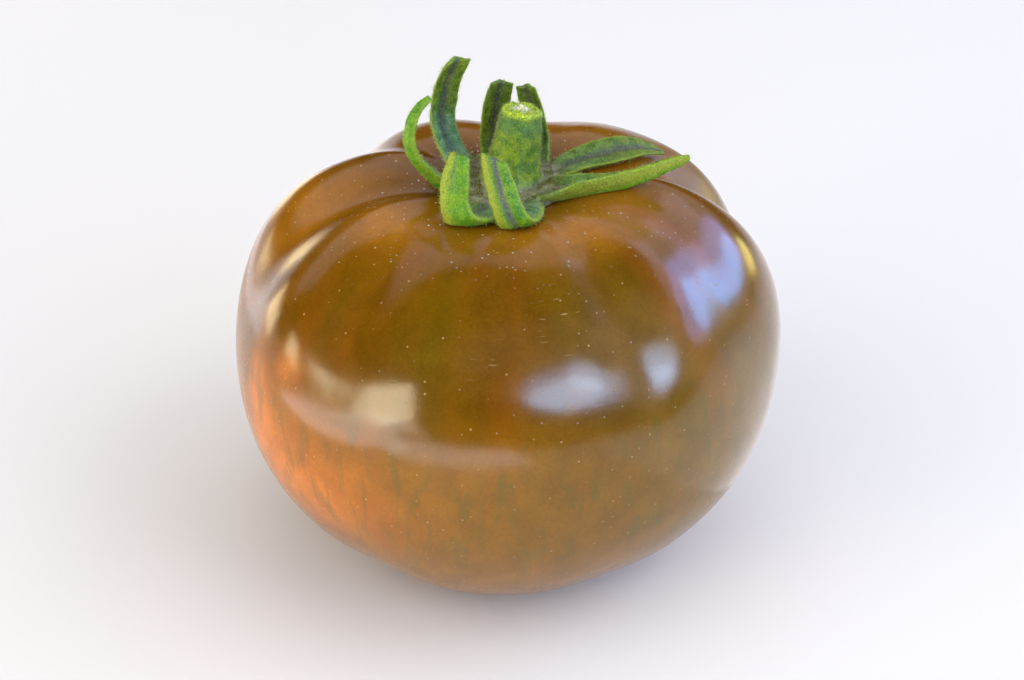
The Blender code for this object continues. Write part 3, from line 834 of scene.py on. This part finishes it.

# %% [markdown]
# ## Green plant tissue
#
# Sepals are leaves. Their upper face is green, and near the root it is painted blue: a painted reflection of
# the blue sky, more on some sepals than on others. A dark purple channel runs down the middle. The under
# face is a bright, yellower green, and one half of each blade's under face is painted lighter and yellower
# as painted light. Along the margins runs a painted rim light of lime. Tiny glands, about 0.05 mm wide and
# drawn a little coarser, dot the whole with yellow. A leaf isn't glossy: roughness is about 0.55. A trace
# of Sheen stands for the shortest down, and the longer hairs are modelled further on.

# %% Masks of the calyx
BLOTCH_SIZE = 1.6 * MM
FLECK_SIZE = 0.28 * MM
GLAND_SPACING = 0.36 * MM

leaf_finish, tree, shader = new_finish("calyx_leaf_tissue")
place = add_node(tree, "TexCoord", {}, {}, "Object")
zone = {
    name: add_node(tree, "Attribute", {"attribute_name": name}, {}, "Fac")
    for name in ("is_blade", "share", "across", "upper_face", "on_stem", "cut_end", "pith", "under_the_cut",
                 "grooved", "painted_sky_share", "darkness")
}
blotches = add_node(tree, "TexNoise", {}, {"Vector": place, "Scale": 1 / BLOTCH_SIZE, "Detail": 3.0})
flecks = add_node(tree, "TexNoise", {}, {"Vector": place, "Scale": 1 / FLECK_SIZE, "Detail": 2.0})
glands = add_node(tree, "TexVoronoi", {}, {"Vector": place, "Scale": 1 / GLAND_SPACING}, "Distance")
off_middle = add_node(tree, "Math", {"operation": "ABSOLUTE"}, {0: zone["across"]})

# Each soft mask: the value that it follows, where that leaves it at 0, and where at 1.
soft = {
    name: add_node(tree, "MapRange", SMOOTH, {"Value": value, "From Min": start, "From Max": end})
    for name, (value, start, end) in {
        "blotch": (blotches, 0.36, 0.64),
        # The half of a blade that is painted as lit.
        "lit_half": (zone["across"], 0.05, 0.75),
        "lower_half": (zone["share"], 0.72, 0.34),
        "root": (zone["share"], 0.30, 0.06),
        "channel": (off_middle, 0.46, 0.06),
        "edge": (off_middle, 0.74, 1.0),
        "channel_flecks": (flecks, 0.22, 0.60),
        "groove_flecks": (flecks, 0.20, 0.50),
        "cut_flecks": (flecks, 0.35, 0.60),
        "pith_flecks": (flecks, 0.34, 0.52),
        "glands": (glands, 0.30, 0.10),
    }.items()
}
# Each amount is a product of masks and shares.
amounts = {
    # Painted light: one half of the under face is painted lighter and yellower.
    "painted_light_half": (soft["lit_half"], 0.85),
    # Painted reflection of the blue sky near the root of the upper face.
    "sky_reflection": (soft["lower_half"], zone["painted_sky_share"]),
    "purple": (soft["channel"], soft["channel_flecks"], 0.80),
    # Painted rim light of lime along the blade's margins.
    "painted_rim_light": (soft["edge"], 0.70),
    "grooved": (zone["grooved"], soft["groove_flecks"]),
    "rooted": (soft["root"], zone["upper_face"], 0.80),
    "under_the_cut": (zone["under_the_cut"], 0.60),
    "pith": (zone["pith"], soft["pith_flecks"]),
    "glands": (soft["glands"], 0.60),
}
for name, (product, *factors) in amounts.items():
    for factor in factors:
        product = add_node(tree, "Math", MULTIPLY, {0: product, 1: factor})
    amounts[name] = product
print("calyx:", len(soft), "soft masks in", len(amounts), "amounts")

# %% Greens of the calyx
# Each tissue: the mask that mottles it, its darker hue and its lighter one.
tissue = {
    name: add_node(tree, "Mix", RGBA, {0: soft[mask], 6: linear(dark), 7: linear(light)}, RESULT)
    for name, (mask, dark, light) in {
        "under_face": ("blotch", "#4A8C00", "#70A400"),
        "plain_green": ("blotch", "#507008", "#76901C"),
        # A blue green that stands for the painted reflection of the blue sky, not a colour of the tissue.
        "painted_sky_blue": ("blotch", "#4C8458", "#74A47A"),
        "disc": ("blotch", "#545028", "#8A8A74"),
        "stem": ("blotch", "#4A7600", "#84A204"),
        "cut": ("cut_flecks", "#76A008", "#BCD434"),
    }.items()
}
# Each step lays a tissue or a hue over a tissue: the name of what comes out, what lies below, what goes
# over it, and how much.
for outcome, below, over, amount in (
    # The under face's painted light, lighter and yellower on one half.
    ("under_face", "under_face", "#A0AC30", amounts["painted_light_half"]),
    # The upper face's painted reflection of the blue sky.
    ("upper_face", "plain_green", "painted_sky_blue", amounts["sky_reflection"]),
    ("upper_face", "upper_face", "#4A4656", amounts["purple"]),
    ("blade", "under_face", "upper_face", zone["upper_face"]),
    # Painted rim light along the margins.
    ("blade", "blade", "#96B41C", amounts["painted_rim_light"]),
    ("blade", "blade", "#5C5A66", amounts["grooved"]),
    ("calyx", "disc", "blade", zone["is_blade"]),
    ("calyx", "calyx", "disc", amounts["rooted"]),
    ("stem", "stem", "#3A7A44", amounts["under_the_cut"]),
    ("calyx", "calyx", "stem", zone["on_stem"]),
    ("calyx", "calyx", "cut", zone["cut_end"]),
    ("calyx", "calyx", "#EEF0D4", amounts["pith"]),
):
    above = tissue[over] if over in tissue else linear(over)
    tissue[outcome] = add_node(tree, "Mix", RGBA, {0: amount, 6: tissue[below], 7: above}, RESULT)

FLECK_SHADES = (0.62, 1.26)
fleck_shade = add_node(tree, "MapRange", {}, {"Value": flecks, "From Min": 0.3, "From Max": 0.7,
                                              "To Min": FLECK_SHADES[0], "To Max": FLECK_SHADES[1]})
colour = add_node(tree, "VectorMath", SCALE, {0: tissue["calyx"], "Scale": fleck_shade})
colour = add_node(tree, "Mix", RGBA, {0: amounts["glands"], 6: colour, 7: linear("#B8C83C")}, RESULT)
colour = add_node(tree, "VectorMath", SCALE, {0: colour, "Scale": zone["darkness"]})
tree.links.new(colour, shader.inputs["Base Color"])
print("calyx:", len(tissue), "tissues")

# %% Relief and softness of the calyx
FLECK_HEIGHT = 0.08 * MM
LEAF_ROUGHNESS = (0.48, 0.62)

leaf_bump = add_node(tree, "Bump", {}, {"Height": flecks, "Distance": FLECK_HEIGHT, "Strength": 1.0})
tree.links.new(leaf_bump, shader.inputs["Normal"])
leaf_rough = add_node(tree, "MapRange", {}, {"Value": blotches, "From Min": 0.3, "From Max": 0.7,
                                             "To Min": LEAF_ROUGHNESS[0], "To Max": LEAF_ROUGHNESS[1]})
tree.links.new(leaf_rough, shader.inputs["Roughness"])
shader.inputs["IOR"].default_value = 1.38
shader.inputs["Sheen Weight"].default_value = 0.03
shader.inputs["Sheen Roughness"].default_value = 0.5
shader.inputs["Sheen Tint"].default_value = linear("#DDE8C8")
shader.inputs["Subsurface Weight"].default_value = 0.10
shader.inputs["Subsurface Radius"].default_value = (0.5, 1.0, 0.2)
shader.inputs["Subsurface Scale"].default_value = 0.6 * MM
calyx_mesh.materials.clear()
calyx_mesh.materials.append(leaf_finish)
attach(calyx, "root")
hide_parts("calyx")
print("leaf tissue:", len(tree.nodes), "nodes")

# %% [markdown]
# ## Hairs
#
# Every green part of a tomato is hairy, and the hairs are what catches light along its outline. They could
# be a hair system, but only a mesh leaves Blender with the model. So each hair is a bent cone of three
# sides with its root sunk into the tissue, and thousands of them make one mesh. A real hair is 0.03 mm
# thick. These are a little thicker, because a thinner one than a quarter of a pixel only shimmers.

# %% Grow the hairs
HAIR_COUNT = 14000
HAIR_LENGTH = (0.20 * MM, 0.62 * MM)
HAIR_RADIUS, HAIR_TAPER = 0.018 * MM, 0.7
HAIR_SINK = 0.05 * MM
HAIR_LEAN, HAIR_BEND = 0.35, 0.21
HAIR_SIDES = 3
# How thickly hairs stand: on a blade, by how much more on the rest, and more again at a blade's edge.
ON_BLADE, ON_THE_REST, AT_THE_EDGE = 0.35, 0.65, 0.9
BARE_BELOW = 0.12

draw = np.random.default_rng(SEED)
calyx_mesh.calc_loop_triangles()
corners = np.empty(len(calyx_mesh.loop_triangles) * 3, np.int32)
calyx_mesh.loop_triangles.foreach_get("vertices", corners)
corners = corners.reshape(-1, 3)
calyx_points = read_points(calyx_mesh)
calyx_normals = read_points(calyx_mesh, "normal")
edge_a = calyx_points[corners[:, 1]] - calyx_points[corners[:, 0]]
edge_b = calyx_points[corners[:, 2]] - calyx_points[corners[:, 0]]
areas = 0.5 * np.linalg.norm(np.cross(edge_a, edge_b), axis=1)
at_edge = AT_THE_EDGE * of_blade * ramp(np.abs(values[:, ACROSS]), 0.7, 1.0)
thickly = ON_BLADE + ON_THE_REST * (1 - of_blade) + at_edge
wanted = areas * (above_skin[corners].mean(1) > BARE_BELOW) * thickly[corners].mean(1)
chosen = draw.choice(len(corners), HAIR_COUNT, p=wanted / wanted.sum())
mix = draw.dirichlet((1, 1, 1), HAIR_COUNT)
roots = np.einsum("ij,ijk->ik", mix, calyx_points[corners[chosen]])
outward = np.einsum("ij,ijk->ik", mix, calyx_normals[corners[chosen]])
outward += draw.normal(0, HAIR_LEAN, outward.shape)
outward /= np.linalg.norm(outward, axis=1, keepdims=True)
bent = outward + draw.normal(0, HAIR_BEND, outward.shape)
bent /= np.linalg.norm(bent, axis=1, keepdims=True)
lengths = draw.uniform(*HAIR_LENGTH, HAIR_COUNT)[:, None]
aside = np.cross(outward, draw.normal(0, 1, outward.shape))
aside /= np.linalg.norm(aside, axis=1, keepdims=True)
third = np.cross(outward, aside)
low_end = roots - outward * HAIR_SINK
middle = roots + outward * lengths * 0.5
tip = middle + bent * lengths * 0.5
rings = []
for centre, radius in ((low_end, HAIR_RADIUS), (middle, HAIR_TAPER * HAIR_RADIUS)):
    for side in range(HAIR_SIDES):
        turn = 2 * math.pi * side / HAIR_SIDES
        rings.append(centre + radius * (aside * math.cos(turn) + third * math.sin(turn)))
hair_points = np.stack(rings + [tip], axis=1).reshape(-1, 3)
faces = []
for hair in range(HAIR_COUNT):
    first = hair * (2 * HAIR_SIDES + 1)
    faces.append((first + 2, first + 1, first))
    for side in range(HAIR_SIDES):
        beside = (side + 1) % HAIR_SIDES
        faces.append((first + side, first + beside, first + HAIR_SIDES + beside, first + HAIR_SIDES + side))
        faces.append((first + HAIR_SIDES + side, first + HAIR_SIDES + beside, first + 2 * HAIR_SIDES))
hair_mesh = bpy.data.meshes.new("calyx_hairs")
hair_mesh.from_pydata(hair_points.tolist(), [], faces)
hair_mesh.shade_smooth()
hairs = bpy.data.objects.new("calyx_hairs", hair_mesh)
bpy.context.scene.collection.objects.link(hairs)
print("hairs:", HAIR_COUNT, "with", count_triangles(hair_mesh), "triangles")

# %% Finish of the hairs
# A plant hair is a clear wet tube: smooth, pale, and bright where it catches the light.
TUFT_SIZE = 2.5 * MM

hair_finish, tree, shader = new_finish("plant_hair_translucent")
place = add_node(tree, "TexCoord", {}, {}, "Object")
tufts = add_node(tree, "TexNoise", {}, {"Vector": place, "Scale": 1 / TUFT_SIZE, "Detail": 2.0})
colour = add_node(tree, "Mix", RGBA, {0: tufts, 6: linear("#94A83C"), 7: linear("#D4DC90")}, RESULT)
tree.links.new(colour, shader.inputs["Base Color"])
shader.inputs["Roughness"].default_value = 0.4
shader.inputs["IOR"].default_value = 1.5
hair_mesh.materials.append(hair_finish)
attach(hairs, "root")
print("hairs:", len(tree.nodes), "nodes")

# %% [markdown]
# ## The paper
#
# The fruit stands on plain white paper, faintly uneven because it is made of fibres. The sheet reaches far
# to the back and the sides. In front it ends just outside the picture, because the glossy skin mirrors
# what lies there, and a bright floor all the way to the camera would veil its colour. The paper belongs to
# the stage and not to the object.

# %% Lay the paper
PAPER_HALF = 2.5
PAPER_FRONT = -172 * MM
FIBRE_SIZE = 0.4 * MM

sheet_of_paper = bmesh.new()
bmesh.ops.create_grid(sheet_of_paper, x_segments=8, y_segments=8, size=PAPER_HALF)
bmesh.ops.translate(sheet_of_paper, verts=sheet_of_paper.verts, vec=(0, PAPER_HALF + PAPER_FRONT, 0))
paper_mesh = bpy.data.meshes.new("paper")
sheet_of_paper.to_mesh(paper_mesh)
sheet_of_paper.free()
paper = bpy.data.objects.new("paper", paper_mesh)
bpy.context.scene.collection.objects.link(paper)
# Uncoated paper is matt: it scatters light evenly and shows no highlight.
paper_finish, tree, shader = new_finish("matt_white_paper")
place = add_node(tree, "TexCoord", {}, {}, "Object")
fibres = add_node(tree, "TexNoise", {}, {"Vector": place, "Scale": 1 / FIBRE_SIZE, "Detail": 2.0})
white = add_node(tree, "Mix", RGBA, {0: fibres, 6: linear("#F4F4F5"), 7: linear("#F8F8F9")}, RESULT)
tree.links.new(white, shader.inputs["Base Color"])
shader.inputs["Roughness"].default_value = 0.9
shader.inputs["Specular IOR Level"].default_value = 0.2
paper_mesh.materials.append(paper_finish)
print("the paper ends", round(-PAPER_FRONT / MM), "mm in front of the fruit's middle")

# %% [markdown]
# ## Light
#
# Gloss shows where the light comes from, so each soft box stands in the direction that a highlight on the
# fruit points to: a warm window low at the left, a cool one at the front right, a blue one at the right,
# golden ones behind, and wide dim ones that veil the shoulders. Each is sized by the angle that it fills and
# by its brightness against white paper, which is easier to reason about than watts.
#
# A small bright box would also throw a hard light on the paper, more than the picture shows. So only a
# share of each box reaches matt surfaces, and a twin that matt surfaces don't see makes up the rest of what
# gloss shows. Three fill boxes without any gloss light the matt surfaces from above, as does the world, which
# is kept out of the gloss in the same way. Ray visibility does all of this without a trick in any material.

# %% Soft boxes
FRUIT_MIDDLE = Vector((0, 0, 34 * MM))
FAR, NEAR = 1.6, 0.25
# Boxes in one direction would lie in one plane, so each stands this share further off than the last.
APART = 0.002
# Each box: azimuth, elevation, width and height in degrees, radiance, colour, shape, distance, and the
# share of its light that matt surfaces get. White paper in full light has radiance 1.
SOFT_BOXES = {
    "warm_left": (-146, 3, 31, 25, 11, "#FFF4D0", "RECTANGLE", FAR, 0.70),
    "cool_front": (-54, 21, 54, 30, 4.5, "#94BCFF", "ELLIPSE", FAR, 0.45),
    "cool_front_low": (-56, 18, 46, 20, 9, "#BCDCFF", "ELLIPSE", FAR, 0.0),
    "cool_front_high": (-39, 26, 23, 20, 6, "#BCDCFF", "ELLIPSE", FAR, 0.0),
    "blue_right": (20, 25, 50, 26, 5, "#9CA4FF", "ELLIPSE", FAR, 0.25),
    "blue_core": (24, 19, 28, 17, 8, "#5CB4FF", "ELLIPSE", FAR, 0.0),
    "lavender_right": (32, 42, 44, 16, 1.6, "#D0C4F0", "RECTANGLE", FAR, 0.0),
    "yellow_right": (40, 5, 14, 12, 7, "#FFF090", "ELLIPSE", FAR, 0.0),
    "warm_far_left": (-178, -1, 14, 22, 9, "#FFF0C0", "RECTANGLE", FAR, 0.0),
    "golden_left": (148, 0, 20, 11, 5, "#FFE8B0", "RECTANGLE", NEAR, 0.0),
    "golden_back": (117, -3, 15, 9, 2.6, "#FFE49A", "RECTANGLE", NEAR, 0.0),
    "dim_right": (0, 20, 72, 50, 1.0, "#E8D4BC", "ELLIPSE", FAR, 0.0),
    "dim_above_front": (-60, 54, 80, 36, 0.35, "#F0D8CC", "ELLIPSE", FAR, 0.0),
    "lilac_above_back": (95, 41, 112, 38, 1.0, "#E0D4DC", "RECTANGLE", FAR, 0.0),
    "fill_front_right": (-25, 40, 50, 40, 1.75, "#F6F9FF", "RECTANGLE", FAR, 1.0),
    "fill_above_front": (-125, 42, 70, 40, 1.35, "#FFF8F2", "RECTANGLE", FAR, 1.0),
    "fill_overhead": (0, 78, 60, 60, 0.85, "#FFFAF4", "RECTANGLE", FAR, 1.0),
}

# The window's reflection stands upright on the lobe only if the box itself is turned in its plane.
ROLLED = {"warm_left": math.radians(18)}


def area_light(name, width, height, radiance, hex_colour, shape, reaches_matt):
    """A flat light of this size that the camera doesn't see."""
    light = bpy.data.lights.new(name, "AREA")
    light.shape = shape
    light.size, light.size_y = width, height
    light.energy = radiance * math.pi * width * height
    if shape == "ELLIPSE":
        light.energy *= math.pi / 4
    light.color = linear(hex_colour)[:3]
    box = bpy.data.objects.new(name, light)
    bpy.context.scene.collection.objects.link(box)
    box.visible_camera = False
    box.visible_diffuse = reaches_matt
    return box


for name, (azimuth_of, tilt_of, wide, tall, radiance, hue, shape, away, matt_share) in SOFT_BOXES.items():
    turn, tilt = math.radians(azimuth_of), math.radians(tilt_of)
    outward = Vector((math.cos(turn) * math.cos(tilt), math.sin(turn) * math.cos(tilt), math.sin(tilt)))
    spans = [2 * away * math.tan(math.radians(angle) / 2) for angle in (wide, tall)]
    for part, reaches_matt in ((matt_share, True), (1 - matt_share, False)):
        if part > 0:
            box = area_light(name, *spans, part * radiance, hue, shape, reaches_matt)
            box.location = FRUIT_MIDDLE + outward * away * (1 + APART * len(bpy.data.lights))
            facing = outward.to_track_quat("Z", "Y")
            box.rotation_euler = (facing @ Quaternion((0, 0, 1), ROLLED.get(name, 0))).to_euler()
            box.visible_glossy = matt_share < 1
print("soft boxes:", len(SOFT_BOXES), "made of", len(bpy.data.lights), "lights")

# %% [markdown]
# ## Sunlit paper
#
# Under the highlights runs a pale band: it is the paper in front of the fruit, mirrored where the sun lies on
# it. Patches of light a millimetre above the paper show in the gloss and light nothing else, which is easier
# to place than a sun whose shadows would cross the picture.

# %% Lay the sunlit patches
PATCH_LEVEL, PATCH_STEP = 1 * MM, 0.2 * MM
# Each patch: azimuth in degrees, distance, width across, length outwards, and radiance.
SUNLIT_PATCHES = {
    "sunlit_left": (-150, 165 * MM, 120 * MM, 88 * MM, 3.6),
    "sunlit_front": (-107, 136 * MM, 110 * MM, 54 * MM, 2.6),
    "sunlit_far": (-142, 350 * MM, 190 * MM, 280 * MM, 4.5),
    "sunlit_right": (20, 190 * MM, 300 * MM, 300 * MM, 0.45),
    "sunlit_back": (122, 200 * MM, 200 * MM, 100 * MM, 0.9),
}

for number, (name, (azimuth_of, reach_of, wide, outwards, radiance)) in enumerate(SUNLIT_PATCHES.items()):
    sunlit = area_light(name, outwards, wide, radiance, "#FBF6FA", "RECTANGLE", False)
    turn = math.radians(azimuth_of)
    level = PATCH_LEVEL + number * PATCH_STEP
    sunlit.location = (reach_of * math.cos(turn), reach_of * math.sin(turn), level)
    sunlit.rotation_euler = (math.pi, 0, turn)
print("sunlit patches:", len(SUNLIT_PATCHES))

# %% The world around
EVEN_LIGHT = 0.37

world = bpy.data.worlds.new("even_light")
bpy.context.scene.world = world
world.use_nodes = True
background = world.node_tree.nodes["Background"]
background.inputs["Color"].default_value = linear("#FEFEFC")
background.inputs["Strength"].default_value = EVEN_LIGHT
world.cycles_visibility.glossy = False
bpy.context.scene.view_settings.view_transform = "Standard"
print("even light:", EVEN_LIGHT)
